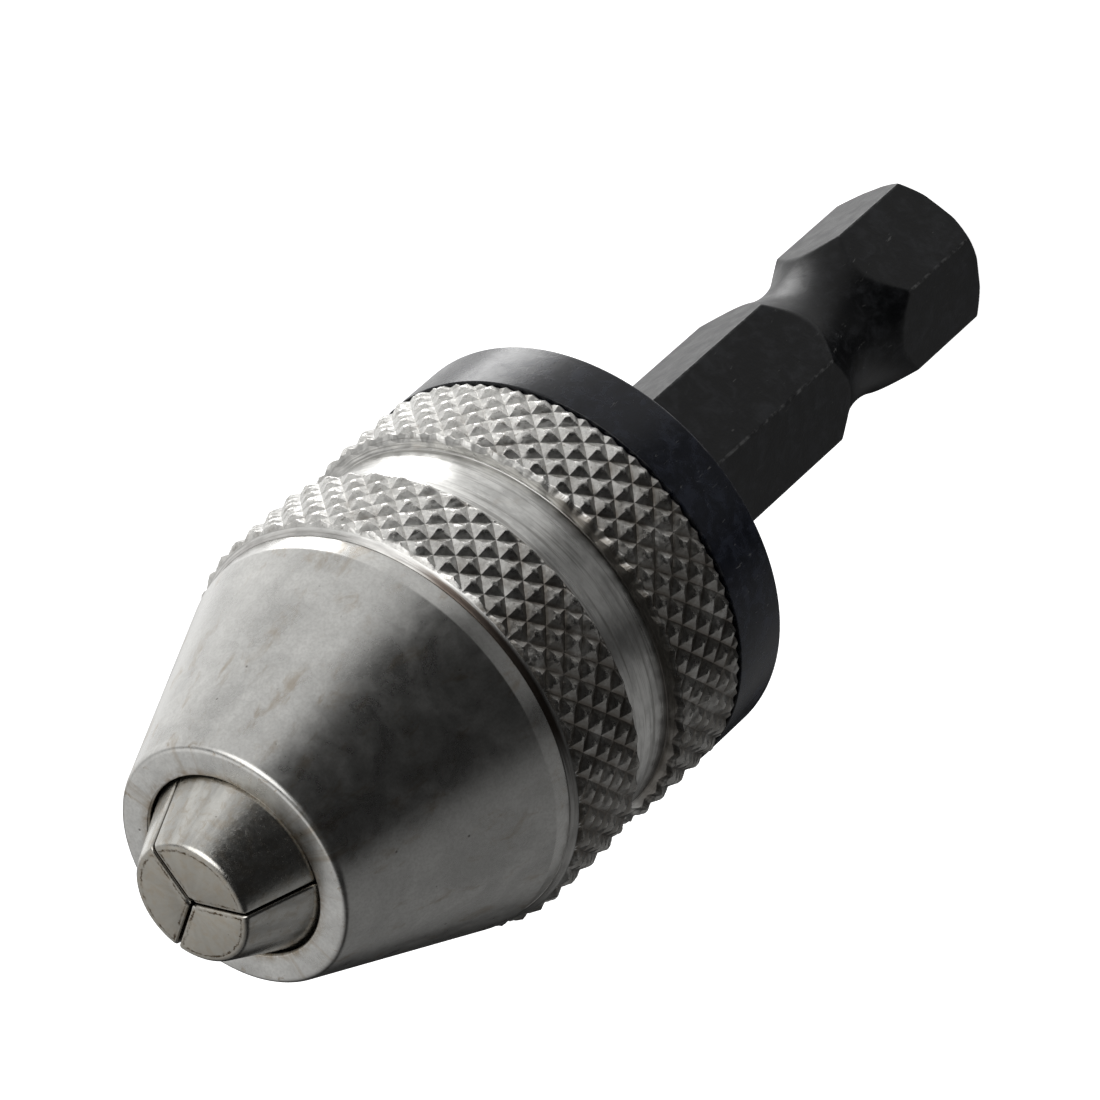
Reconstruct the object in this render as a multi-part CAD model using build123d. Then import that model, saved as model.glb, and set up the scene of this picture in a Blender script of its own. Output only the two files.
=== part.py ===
from build123d import *
import math
import os

# A screw-sleeve drill chuck with a hexagonal power shank. Millimetres.
# +Z is the chuck's axis, from the centre of the shank's end face towards the jaw tips.
# A corner of the hexagon points along +X.

# Driving dimensions: lengths along Z
OVERALL_LENGTH = 49.0
NOSE_FACE_Z = 46.43
CONE_FOOT_Z = 37.85
HOOD_FOOT_Z = 37.08
GROOVE_FRONT_Z = 32.86
GROOVE_REAR_Z = 30.14
SLEEVE_REAR_Z = 26.25
RING_FRONT_Z = 26.2
RING_REAR_Z = 23.4

# Driving dimensions: radii and widths
HEX_ACROSS_FLATS = 6.35
RING_RADIUS = 8.87
KNURL_RADIUS = 8.95
REAR_KNURL_RADIUS = 8.96
GROOVE_RADIUS = 8.24
HOOD_FOOT_RADIUS = 8.45
NOSE_FACE_RADIUS = 5.07
MOUTH_RADIUS = 3.765
JAW_TIP_RADIUS = 2.51
JAW_RADIUS = 5.1

# The screw and the closing cone
BARREL_RADIUS = 6.70
THREAD_RUNNING_CLEARANCE = 0.05
SLEEVE_TRAVEL = 4.05
CONE_SLOPE = math.tan(math.radians(24.0))

# Jaws: mid-plane directions about Z, and the slot left between closed jaws
JAW_ANGLES = (34.5, 154.5, -85.5)
JAW_SLIT = 0.12
GRIP_RADIUS = 0.15
JAW_SEAT_GAP = 0.05
JAW_TIP_CHAMFER = 0.1

# Shank
SPIGOT_RADIUS = 3.0
SPIGOT_LENGTH = 4.4
SHANK_END_RADIUS = 3.2
SHANK_CHAMFER_LENGTH = 0.45
DETENT_Z = 7.7
DETENT_RADIUS = 2.78
DETENT_HALF_LENGTH = 2.8

# Collar and body
RING_WEB = 0.8
RING_CHAMFER = 0.12
RING_EDGE_BREAK = 0.08
BOSS_RADIUS = 5.5
TAIL_BORE_RADIUS = 1.9
PILOT_RADIUS = 3.0
LOCK_PIN_RADIUS = 0.75
LOCK_PIN_LENGTH = 10.6
PIN_HOLE_CLEARANCE = 0.01

# Thrust bearing and stop ring
RACE_THICKNESS = 1.0
RACE_RADIUS = 6.4
BALL_RADIUS = 0.5
BALL_CIRCLE_RADIUS = 4.8
BALL_COUNT = 14
RACEWAY_DEPTH = 0.25
RACEWAY_RADIUS = 0.52
CAGE_THICKNESS = 0.4
CAGE_INNER_RADIUS = 3.08
CAGE_OUTER_RADIUS = 6.2
CAGE_POCKET_RADIUS = 0.53
SEAT_THICKNESS = 1.2
SEAT_RADIUS = 6.5
SEAT_RUNNING_CLEARANCE = 0.05
STOP_WIRE_RADIUS = 0.4
STOP_RING_RADIUS = 6.75
STOP_RING_INSET = 0.75
STOP_RING_ARC = 335.0

# Guide ribs on the seat and the springs between the jaws
RIB_WIDTH = 1.2
RIB_HEIGHT = 0.8
RIB_INNER_RADIUS = 3.4
RIB_OUTER_RADIUS = 6.2
RIB_CLEARANCE = 0.05
RELIEF_LENGTH = 2.55
RELIEF_RADIUS = 2.1
SPRING_ROWS = {"front": 43.4, "rear": 40.6}
SPRING_CIRCLE_RADIUS = 3.3
SPRING_OUTER_RADIUS = 0.62
SPRING_INNER_RADIUS = 0.4
SPRING_LENGTH = 3.9
SPRING_HOLE_RADIUS = 0.75
SPRING_HOLE_DEPTH = 2.0

# Sleeve details
CAVITY_RADIUS = 7.3
HOOD_SPIGOT_RADIUS = 8.0
HOOD_SPIGOT_REAR_Z = 33.2
MOUTH_CHAMFER = 0.145
NOSE_EDGE_BREAK = 0.12
CONE_FOOT_BREAK = 0.06
FRONT_STEP_LENGTH = 0.66
FRONT_STEP_HEIGHT = 0.48
GROOVE_WALL_LENGTH = 0.12
SLEEVE_COUNTERBORE = 0.5
SLEEVE_COUNTERBORE_RADIUS = 7.0
SLEEVE_EDGE_BREAK = 0.15

# Places that follow from the sizes above
BODY_REAR_Z = RING_REAR_Z + RING_WEB
SPIGOT_FRONT_Z = BODY_REAR_Z + SPIGOT_LENGTH
JAW_SPACE_REAR_Z = 38.4
SEAT_REAR_Z = JAW_SPACE_REAR_Z - SEAT_THICKNESS
BALL_Z = SEAT_REAR_Z + RACEWAY_DEPTH - BALL_RADIUS
RACE_FRONT_Z = BALL_Z - BALL_RADIUS + RACEWAY_DEPTH
BODY_FRONT_Z = RACE_FRONT_Z - RACE_THICKNESS
PILOT_FRONT_Z = JAW_SPACE_REAR_Z - 0.4
STOP_RING_Z = BODY_FRONT_Z - STOP_RING_INSET
THREAD_BORE_RADIUS = BARREL_RADIUS + THREAD_RUNNING_CLEARANCE
THREAD_FRONT_Z = STOP_RING_Z - STOP_WIRE_RADIUS - SLEEVE_TRAVEL - THREAD_RUNNING_CLEARANCE
JAW_REAR_Z = JAW_SPACE_REAR_Z + JAW_SEAT_GAP


def turned(*outline):
    """A solid of revolution about Z from a closed outline of (radius, z) corners."""
    corners = [(radius, 0, z) for radius, z in outline]
    return revolve(make_face(Polyline(*corners, close=True)), axis=Axis.Z)


def rod(radius, z_low, z_high):
    """A plain cylinder on the axis."""
    return Pos(0, 0, (z_low + z_high) / 2) * Cylinder(radius, z_high - z_low)


def tube(inner, outer, z_low, z_high):
    """A plain ring on the axis."""
    return turned((inner, z_low), (outer, z_low), (outer, z_high), (inner, z_high))


def detent_cutter():
    """The ring that cuts the detent groove: a circle swept about Z, with its inner edge at the groove's root."""
    corner_radius = HEX_ACROSS_FLATS / math.sqrt(3)
    depth = corner_radius - DETENT_RADIUS
    arc_radius = (DETENT_HALF_LENGTH**2 + depth**2) / (2 * depth)
    return Pos(0, 0, DETENT_Z) * Torus(DETENT_RADIUS + arc_radius, arc_radius)


def hex_shank():
    """Hexagonal power shank with its end chamfer, its detent groove and the spigot that sits in the body."""
    profile = RegularPolygon(HEX_ACROSS_FLATS / 2, 6, major_radius=False)
    prism = extrude(profile, BODY_REAR_Z)
    corner = HEX_ACROSS_FLATS / math.sqrt(3)
    end_cone = turned(
        (0, 0),
        (SHANK_END_RADIUS, 0),
        (corner, SHANK_CHAMFER_LENGTH),
        (corner, BODY_REAR_Z),
        (0, BODY_REAR_Z),
    )
    spigot = rod(SPIGOT_RADIUS, BODY_REAR_Z, SPIGOT_FRONT_Z)
    return (prism & end_cone) - detent_cutter() + spigot - lock_pin_hole()


def lock_pin_at(radius, length):
    """A cross cylinder through the body's rear boss, along X."""
    z = (BODY_REAR_Z + RING_FRONT_Z) / 2
    return Pos(0, 0, z) * Rot(0, 90, 0) * Cylinder(radius, length)


def lock_pin_hole():
    """The cross hole for the lock pin, longer than the boss is wide."""
    return lock_pin_at(LOCK_PIN_RADIUS + PIN_HOLE_CLEARANCE, 2 * BARREL_RADIUS)


def lock_pin():
    """Dowel that keys the shank's spigot to the body, held in by the back ring."""
    return lock_pin_at(LOCK_PIN_RADIUS, LOCK_PIN_LENGTH)


def chuck_body():
    """Barrel at the thread's pitch radius, with the ring's boss behind, the pilot in front and the tail bore."""
    blank = turned(
        (SPIGOT_RADIUS, BODY_REAR_Z),
        (BOSS_RADIUS, BODY_REAR_Z),
        (BOSS_RADIUS, RING_FRONT_Z),
        (BARREL_RADIUS, RING_FRONT_Z),
        (BARREL_RADIUS, BODY_FRONT_Z),
        (PILOT_RADIUS, BODY_FRONT_Z),
        (PILOT_RADIUS, PILOT_FRONT_Z),
        (TAIL_BORE_RADIUS, PILOT_FRONT_Z),
        (TAIL_BORE_RADIUS, SPIGOT_FRONT_Z),
        (SPIGOT_RADIUS, SPIGOT_FRONT_Z),
    )
    groove_root = STOP_RING_RADIUS - STOP_WIRE_RADIUS - THREAD_RUNNING_CLEARANCE
    groove = tube(
        groove_root,
        BARREL_RADIUS + 1,
        STOP_RING_Z - STOP_WIRE_RADIUS,
        STOP_RING_Z + STOP_WIRE_RADIUS,
    )
    return blank - groove - lock_pin_hole()


def back_ring():
    """Collar pressed on the boss, with a thin rear web that closes round the hexagon."""
    web_hole = HEX_ACROSS_FLATS / math.sqrt(3) + 0.08
    return turned(
        (web_hole, RING_REAR_Z),
        (RING_RADIUS - RING_CHAMFER, RING_REAR_Z),
        (RING_RADIUS, RING_REAR_Z + RING_CHAMFER),
        (RING_RADIUS, RING_FRONT_Z - RING_EDGE_BREAK),
        (RING_RADIUS - RING_EDGE_BREAK, RING_FRONT_Z),
        (BOSS_RADIUS, RING_FRONT_Z),
        (BOSS_RADIUS, BODY_REAR_Z),
        (web_hole, BODY_REAR_Z),
    )


def stop_ring():
    """Split wire ring in the barrel's front groove."""
    wire = Plane.XZ * Pos(STOP_RING_RADIUS, STOP_RING_Z) * Circle(STOP_WIRE_RADIUS)
    return revolve(wire, axis=Axis.Z, revolution_arc=STOP_RING_ARC)


def raceway():
    """The ring that cuts both ball grooves."""
    return Pos(0, 0, BALL_Z) * Torus(BALL_CIRCLE_RADIUS, RACEWAY_RADIUS)


def rear_race():
    """Hardened washer pressed on the pilot against the barrel's face."""
    return tube(PILOT_RADIUS, RACE_RADIUS, BODY_FRONT_Z, RACE_FRONT_Z) - raceway()


def on_ball_circle(shape):
    """Copies of a shape at every ball's place."""
    return [loc * shape for loc in PolarLocations(BALL_CIRCLE_RADIUS, BALL_COUNT)]


def thrust_balls():
    """The balls, each a solid of its own."""
    return Compound(children=on_ball_circle(Pos(0, 0, BALL_Z) * Sphere(BALL_RADIUS)))


def ball_cage():
    """Flat cage with a round pocket for each ball."""
    half = CAGE_THICKNESS / 2
    blank = tube(CAGE_INNER_RADIUS, CAGE_OUTER_RADIUS, BALL_Z - half, BALL_Z + half)
    pocket = Pos(0, 0, BALL_Z) * Cylinder(CAGE_POCKET_RADIUS, CAGE_THICKNESS * 2)
    return blank - on_ball_circle(pocket)


def guide_rib(angle, width, z_high, inner, outer):
    """A radial bar on the seat's front face."""
    height = z_high - JAW_SPACE_REAR_Z
    middle = Pos((inner + outer) / 2, 0, JAW_SPACE_REAR_Z + height / 2)
    return Rot(0, 0, angle) * middle * Box(outer - inner, width, height)


def jaw_seat():
    """Front race and seat of the jaws, running on the pilot, with one guide rib for each jaw."""
    bore = PILOT_RADIUS + SEAT_RUNNING_CLEARANCE
    seat = tube(bore, SEAT_RADIUS, SEAT_REAR_Z, JAW_SPACE_REAR_Z) - raceway()
    rib_top = JAW_SPACE_REAR_Z + RIB_HEIGHT
    for angle in JAW_ANGLES:
        seat += guide_rib(angle, RIB_WIDTH, rib_top, RIB_INNER_RADIUS, RIB_OUTER_RADIUS)
    return seat


def jaw_blank():
    """The closed jaws' common outside: a cylinder behind, the closing cone in front."""
    cone_foot_z = OVERALL_LENGTH - (JAW_RADIUS - JAW_TIP_RADIUS) / CONE_SLOPE
    return turned(
        (0, JAW_REAR_Z),
        (JAW_RADIUS, JAW_REAR_Z),
        (JAW_RADIUS, cone_foot_z),
        (JAW_TIP_RADIUS + JAW_TIP_CHAMFER * CONE_SLOPE, OVERALL_LENGTH - JAW_TIP_CHAMFER),
        (JAW_TIP_RADIUS - JAW_TIP_CHAMFER, OVERALL_LENGTH),
        (0, OVERALL_LENGTH),
    )


def third(angle):
    """A 120 degree wedge about a mid-plane, set back by half the slit on both flanks."""
    apex = JAW_SLIT / 2 / math.sin(math.radians(60))
    reach = 4 * JAW_RADIUS
    corners = [(apex, 0)]
    corners += [
        (apex + reach * math.cos(math.radians(a)), reach * math.sin(math.radians(a)))
        for a in (-60, 0, 60)
    ]
    wedge = extrude(make_face(Polyline(*corners, close=True)), 2 * OVERALL_LENGTH)
    return Rot(0, 0, angle) * wedge


def across_slit(slit_angle, z, radius, length):
    """A cylinder that crosses the slit between two jaws at right angles."""
    out = Rot(0, 0, slit_angle) * Pos(SPRING_CIRCLE_RADIUS, 0, z)
    return out * Rot(90, 0, 0) * Cylinder(radius, length)


def jaw(angle):
    """One jaw: its third of the blank, relieved for the drill, slotted for its rib and drilled for springs."""
    body = jaw_blank() & third(angle)
    body -= rod(GRIP_RADIUS, JAW_REAR_Z, OVERALL_LENGTH)
    body -= rod(RELIEF_RADIUS, JAW_REAR_Z, JAW_REAR_Z + RELIEF_LENGTH)
    slot_top = JAW_SPACE_REAR_Z + RIB_HEIGHT + RIB_CLEARANCE
    slot_width = RIB_WIDTH + 2 * RIB_CLEARANCE
    body -= guide_rib(angle, slot_width, slot_top, 0, JAW_RADIUS + 1)
    hole_length = 2 * SPRING_HOLE_DEPTH + JAW_SLIT
    for slit_angle in (angle - 60, angle + 60):
        for z in SPRING_ROWS.values():
            body -= across_slit(slit_angle, z, SPRING_HOLE_RADIUS, hole_length)
    return body


def jaw_spring(angle, z):
    """The envelope of one coil spring, compressed between a jaw and the next."""
    outside = across_slit(angle + 60, z, SPRING_OUTER_RADIUS, SPRING_LENGTH)
    return outside - across_slit(angle + 60, z, SPRING_INNER_RADIUS, SPRING_LENGTH)


def hood_cone_z(radius):
    """Where the hood's inner cone has a given radius."""
    return NOSE_FACE_Z - (radius - MOUTH_RADIUS) / CONE_SLOPE


def nose_hood():
    """Conical nose: the closing cone inside, a short land at its foot and a spigot pressed in the grip sleeve."""
    return turned(
        (MOUTH_RADIUS + MOUTH_CHAMFER, NOSE_FACE_Z),
        (NOSE_FACE_RADIUS - NOSE_EDGE_BREAK, NOSE_FACE_Z),
        (NOSE_FACE_RADIUS + NOSE_EDGE_BREAK / 2, NOSE_FACE_Z - NOSE_EDGE_BREAK),
        (HOOD_FOOT_RADIUS - CONE_FOOT_BREAK, CONE_FOOT_Z),
        (HOOD_FOOT_RADIUS, CONE_FOOT_Z - CONE_FOOT_BREAK * 2),
        (HOOD_FOOT_RADIUS, HOOD_FOOT_Z),
        (HOOD_SPIGOT_RADIUS, HOOD_FOOT_Z),
        (HOOD_SPIGOT_RADIUS, HOOD_SPIGOT_REAR_Z),
        (CAVITY_RADIUS, HOOD_SPIGOT_REAR_Z),
        (CAVITY_RADIUS, hood_cone_z(CAVITY_RADIUS)),
        (MOUTH_RADIUS + MOUTH_CHAMFER / 2, hood_cone_z(MOUTH_RADIUS + MOUTH_CHAMFER / 2)),
    )


def grip_sleeve():
    """Knurled sleeve at its crest radius: two bands, the groove between them, the thread bore and the cavity."""
    return turned(
        (HOOD_SPIGOT_RADIUS, HOOD_FOOT_Z),
        (KNURL_RADIUS - FRONT_STEP_HEIGHT, HOOD_FOOT_Z),
        (KNURL_RADIUS, HOOD_FOOT_Z - FRONT_STEP_LENGTH),
        (KNURL_RADIUS, GROOVE_FRONT_Z + GROOVE_WALL_LENGTH),
        (GROOVE_RADIUS, GROOVE_FRONT_Z),
        (GROOVE_RADIUS, GROOVE_REAR_Z + GROOVE_WALL_LENGTH),
        (REAR_KNURL_RADIUS, GROOVE_REAR_Z),
        (REAR_KNURL_RADIUS, SLEEVE_REAR_Z + SLEEVE_EDGE_BREAK),
        (REAR_KNURL_RADIUS - SLEEVE_EDGE_BREAK, SLEEVE_REAR_Z),
        (SLEEVE_COUNTERBORE_RADIUS, SLEEVE_REAR_Z),
        (SLEEVE_COUNTERBORE_RADIUS, SLEEVE_REAR_Z + SLEEVE_COUNTERBORE),
        (THREAD_BORE_RADIUS, SLEEVE_REAR_Z + SLEEVE_COUNTERBORE),
        (THREAD_BORE_RADIUS, THREAD_FRONT_Z),
        (CAVITY_RADIUS, THREAD_FRONT_Z),
        (CAVITY_RADIUS, HOOD_SPIGOT_REAR_Z),
        (HOOD_SPIGOT_RADIUS, HOOD_SPIGOT_REAR_Z),
    )


def all_parts():
    """Every piece of the chuck under its own name."""
    parts = {
        "hex_shank": hex_shank(),
        "chuck_body": chuck_body(),
        "back_ring": back_ring(),
        "lock_pin": lock_pin(),
        "stop_ring": stop_ring(),
        "rear_race": rear_race(),
        "thrust_balls": thrust_balls(),
        "ball_cage": ball_cage(),
        "jaw_seat": jaw_seat(),
        "nose_hood": nose_hood(),
        "grip_sleeve": grip_sleeve(),
    }
    for number, angle in enumerate(JAW_ANGLES, start=1):
        parts[f"jaw_{number}"] = jaw(angle)
        for row, z in SPRING_ROWS.items():
            parts[f"{row}_spring_{number}"] = jaw_spring(angle, z)
    return parts


os.makedirs("parts", exist_ok=True)
for name, shape in all_parts().items():
    export_step(shape, f"parts/{name}.step")
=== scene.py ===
"""A hand-tightened drill chuck on a hexagonal shank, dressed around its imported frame.

The classes hold their sizes in millimetres and build their meshes in metres, in the frame's own axes:
+Z runs along the chuck from the shank's end face to the jaw tips, and a corner of the hexagon is on +X.
"""

import logging
import math
from dataclasses import dataclass, field
from enum import Enum
from typing import Sequence

import bpy
import numpy as np
from mathutils import Matrix, Vector


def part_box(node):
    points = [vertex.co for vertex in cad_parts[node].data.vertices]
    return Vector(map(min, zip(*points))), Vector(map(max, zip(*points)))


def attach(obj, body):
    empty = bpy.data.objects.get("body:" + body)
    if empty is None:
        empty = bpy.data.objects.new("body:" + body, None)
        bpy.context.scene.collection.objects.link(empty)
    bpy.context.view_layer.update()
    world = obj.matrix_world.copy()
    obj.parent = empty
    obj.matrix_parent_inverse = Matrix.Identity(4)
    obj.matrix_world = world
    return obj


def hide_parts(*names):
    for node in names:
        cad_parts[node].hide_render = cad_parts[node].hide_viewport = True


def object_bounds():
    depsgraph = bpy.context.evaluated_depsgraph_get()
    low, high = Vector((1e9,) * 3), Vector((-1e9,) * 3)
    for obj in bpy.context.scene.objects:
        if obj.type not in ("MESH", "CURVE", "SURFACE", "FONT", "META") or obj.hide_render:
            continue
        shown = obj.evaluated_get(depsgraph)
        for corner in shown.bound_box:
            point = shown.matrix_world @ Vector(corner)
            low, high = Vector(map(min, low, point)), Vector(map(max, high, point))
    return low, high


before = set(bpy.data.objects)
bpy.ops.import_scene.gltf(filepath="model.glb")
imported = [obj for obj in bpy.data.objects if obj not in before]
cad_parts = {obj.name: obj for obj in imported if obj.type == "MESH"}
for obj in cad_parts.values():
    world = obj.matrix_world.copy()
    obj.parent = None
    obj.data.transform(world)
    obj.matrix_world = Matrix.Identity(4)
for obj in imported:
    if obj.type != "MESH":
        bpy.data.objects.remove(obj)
cad_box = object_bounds()

LOG = logging.getLogger("drill_chuck")
MM = 0.001
Colour = tuple[float, float, float]
Socket = bpy.types.NodeSocket
Feed = float | Socket


# ---------------------------------------------------------------------------------------------------------
# Meshes
# ---------------------------------------------------------------------------------------------------------


@dataclass(frozen=True)
class Corner:
    """One corner of a turned outline: its radius, its height and how far its rounding reaches, in mm."""

    radius: float
    z: float
    round: float = 0.0


@dataclass(frozen=True)
class Extent:
    """The radius and the heights that a CAD node fills, in mm."""

    radius: float
    low: float
    high: float

    @classmethod
    def of(cls, node: str) -> "Extent":
        """Reads a node's extent from the frame.

        Args:
            node: name of the CAD node.

        Returns:
            The extent of that node at rest.
        """
        low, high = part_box(node)
        return cls(max(high.x, high.y) / MM, low.z / MM, high.z / MM)


def rounded(corners: Sequence[Corner], steps: int = 6) -> np.ndarray:
    """Rounds the corners of a closed outline.

    Args:
        corners: the outline's corners in order.
        steps: spans that a rounded corner is drawn with.

    Returns:
        An array of (radius, z) rows.
    """
    points = []
    places = [np.array((c.radius, c.z)) for c in corners]
    for i, corner in enumerate(corners):
        here, before, after = places[i], places[i - 1], places[(i + 1) % len(places)]
        if corner.round <= 0:
            points.append(here)
            continue
        to_before, to_after = before - here, after - here
        reach_in = min(corner.round / np.linalg.norm(to_before), 0.45)
        reach_out = min(corner.round / np.linalg.norm(to_after), 0.45)
        start, end = here + to_before * reach_in, here + to_after * reach_out
        for t in np.linspace(0, 1, steps + 1):
            points.append((1 - t) ** 2 * start + 2 * t * (1 - t) * here + t**2 * end)
    return np.array(points)


def spread(points: np.ndarray, longest: float) -> np.ndarray:
    """Adds points to a closed outline so that no span is longer than asked.

    Args:
        points: (radius, z) rows.
        longest: longest span allowed, in mm.

    Returns:
        The outline with its long spans divided evenly.
    """
    out = []
    for here, there in zip(points, np.roll(points, -1, axis=0)):
        count = max(1, math.ceil(np.linalg.norm(there - here) / longest))
        out.extend(here + (there - here) * k / count for k in range(count))
    return np.array(out)


def skin(name: str, grid: np.ndarray, closed: bool, falling: np.ndarray | None = None) -> bpy.types.Object:
    """Builds a solid's surface over a grid of points whose columns wrap round.

    Args:
        name: name of the new object.
        grid: rows x columns x 3 points in mm.
        closed: True if the last row joins the first; otherwise both end rows are capped flat.
        falling: for each cell, True to cut it along its falling diagonal and False along its rising one;
            None leaves the cells whole.

    Returns:
        The new object, smooth except at edges sharper than 28 degrees.
    """
    rows, columns = grid.shape[:2]
    index = np.arange(rows * columns).reshape(rows, columns)
    down = index if closed else index[:-1]
    up = np.roll(index, -1, axis=0) if closed else index[1:]
    corners = [down, np.roll(down, -1, axis=1), np.roll(up, -1, axis=1), up]
    a, b, c, d = (corner.reshape(-1) for corner in corners)
    if falling is None:
        faces = np.stack((a, b, c, d), axis=1).tolist()
    else:
        fall = falling.reshape(-1)
        first = np.where(fall[:, None], np.stack((a, b, d), 1), np.stack((a, b, c), 1))
        second = np.where(fall[:, None], np.stack((b, c, d), 1), np.stack((a, c, d), 1))
        faces = first.tolist() + second.tolist()
    if not closed:
        faces += [index[0][::-1].tolist(), index[-1].tolist()]
    mesh = bpy.data.meshes.new(name)
    mesh.from_pydata((grid.reshape(-1, 3) * MM).tolist(), [], faces)
    if signed_volume(mesh) < 0:
        mesh.flip_normals()
    mesh.shade_smooth()
    mesh.set_sharp_from_angle(angle=math.radians(28))
    made = bpy.data.objects.new(name, mesh)
    bpy.context.scene.collection.objects.link(made)
    return made


def signed_volume(mesh: bpy.types.Mesh) -> float:
    """Measures the volume inside a mesh, negative where its faces look inwards.

    Args:
        mesh: a closed mesh.

    Returns:
        The signed volume in cubic metres.
    """
    mesh.calc_loop_triangles()
    corners = np.empty(len(mesh.loop_triangles) * 3, np.int32)
    mesh.loop_triangles.foreach_get("vertices", corners)
    points = np.empty(len(mesh.vertices) * 3)
    mesh.vertices.foreach_get("co", points)
    a, b, c = points.reshape(-1, 3)[corners.reshape(-1, 3)].transpose(1, 0, 2)
    return float(np.einsum("ij,ij->i", a, np.cross(b, c)).sum() / 6)


def turned(name: str, corners: Sequence[Corner], columns: int = 256) -> bpy.types.Object:
    """Turns a ring from its closed outline.

    Args:
        name: name of the new object.
        corners: the outline.
        columns: steps round the axis.

    Returns:
        The new object.
    """
    outline = rounded(corners)
    angles = np.linspace(0, 2 * math.pi, columns, endpoint=False)
    return skin(name, wound(outline[:, :1], outline[:, 1:], angles[None, :]), closed=True)


def wound(radius: np.ndarray | float, z: np.ndarray | float, angle: np.ndarray) -> np.ndarray:
    """Places points by radius, height and angle.

    Args:
        radius: distances from the axis, in mm.
        z: heights, in mm.
        angle: angles about the axis, in radians.

    Returns:
        The points, with x, y and z in the last place.
    """
    x, y, z = np.broadcast_arrays(radius * np.cos(angle), radius * np.sin(angle), z)
    return np.stack((x, y, z), axis=-1)


def soft_least(a: np.ndarray, b: np.ndarray, width: float) -> np.ndarray:
    """The lesser of two surfaces, blended where they meet.

    Args:
        a: one surface.
        b: the other.
        width: difference over which they blend.

    Returns:
        The blended surface.
    """
    share = np.clip(0.5 + 0.5 * (b - a) / width, 0, 1)
    return b * (1 - share) + a * share - width * share * (1 - share)


def ripple(points: np.ndarray, period: float, seed: float) -> np.ndarray:
    """Smooth unevenness made of a few crossed waves, the same on every run.

    Args:
        points: places in mm, with x, y and z in the last place.
        period: length of the main waves, in mm.
        seed: shifts the waves.

    Returns:
        Values between about -1 and 1.
    """
    total = np.zeros(points.shape[:-1])
    for k in range(5):
        turn = seed + 2.4 * k
        along = np.array((math.cos(turn), math.sin(turn), math.cos(1.7 * turn)))
        total += np.sin(points @ along * (2 * math.pi / period) * (1 + 0.37 * k) + turn * 5.1)
    return total / 3


def carve(target: bpy.types.Object, cutters: Sequence[bpy.types.Object]) -> None:
    """Cuts other solids out of a piece and removes them.

    Args:
        target: the piece that is cut.
        cutters: the solids to take away.
    """
    for cutter in cutters:
        cut = target.modifiers.new(cutter.name, "BOOLEAN")
        cut.operation, cut.solver, cut.object = "DIFFERENCE", "EXACT", cutter
    graph = bpy.context.evaluated_depsgraph_get()
    carved = bpy.data.meshes.new_from_object(target.evaluated_get(graph))
    target.modifiers.clear()
    target.data = carved
    target.data.set_sharp_from_angle(angle=math.radians(28))
    for cutter in cutters:
        bpy.data.objects.remove(cutter)


# ---------------------------------------------------------------------------------------------------------
# Finishes
# ---------------------------------------------------------------------------------------------------------


class Wiring:
    """Adds nodes to one node tree and links them."""

    def __init__(self, tree: bpy.types.NodeTree) -> None:
        """Takes the tree to work in."""
        self.tree = tree

    def node(self, kind: str) -> bpy.types.Node:
        """Adds a node of a kind."""
        return self.tree.nodes.new(kind)

    def feed(self, socket: Socket, value: Feed | Sequence[float]) -> None:
        """Links a socket to another, or sets it to a number or a colour."""
        if isinstance(value, bpy.types.NodeSocket):
            self.tree.links.new(value, socket)
        else:
            socket.default_value = value

    def parts(self, vector: Socket) -> tuple[Socket, Socket, Socket]:
        """Splits a vector into its three numbers."""
        split = self.node("ShaderNodeSeparateXYZ")
        self.feed(split.inputs[0], vector)
        return split.outputs[0], split.outputs[1], split.outputs[2]

    def maths(self, operation: str, a: Feed, b: Feed = 0.0) -> Socket:
        """Does one sum on one or two numbers."""
        sum_node = self.node("ShaderNodeMath")
        sum_node.operation = operation
        self.feed(sum_node.inputs[0], a)
        self.feed(sum_node.inputs[1], b)
        return sum_node.outputs[0]

    def vector(self, operation: str, a: Socket, b: Socket | Sequence[float] = (0, 0, 0),
               scale: float = 1.0) -> Socket:
        """Does one sum on one or two vectors."""
        sum_node = self.node("ShaderNodeVectorMath")
        sum_node.operation = operation
        self.feed(sum_node.inputs[0], a)
        self.feed(sum_node.inputs[1], b)
        self.feed(sum_node.inputs[3], scale)
        return sum_node.outputs[1 if operation == "DOT_PRODUCT" else 0]

    def joined(self, x: Feed, y: Feed, z: Feed) -> Socket:
        """Makes a vector of three numbers."""
        join = self.node("ShaderNodeCombineXYZ")
        for socket, value in zip(join.inputs, (x, y, z)):
            self.feed(socket, value)
        return join.outputs[0]

    def step(self, value: Feed, start: float, end: float, low: float = 0.0, high: float = 1.0) -> Socket:
        """Carries a number smoothly from low at start to high at end."""
        span = self.node("ShaderNodeMapRange")
        span.interpolation_type = "SMOOTHSTEP"
        for socket, number in zip(span.inputs, (value, start, end, low, high)):
            self.feed(socket, number)
        return span.outputs[0]


def faded(colour: Colour, share: float) -> Colour:
    """A colour at a share of its brightness."""
    red, green, blue = colour
    return share * red, share * green, share * blue


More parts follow.
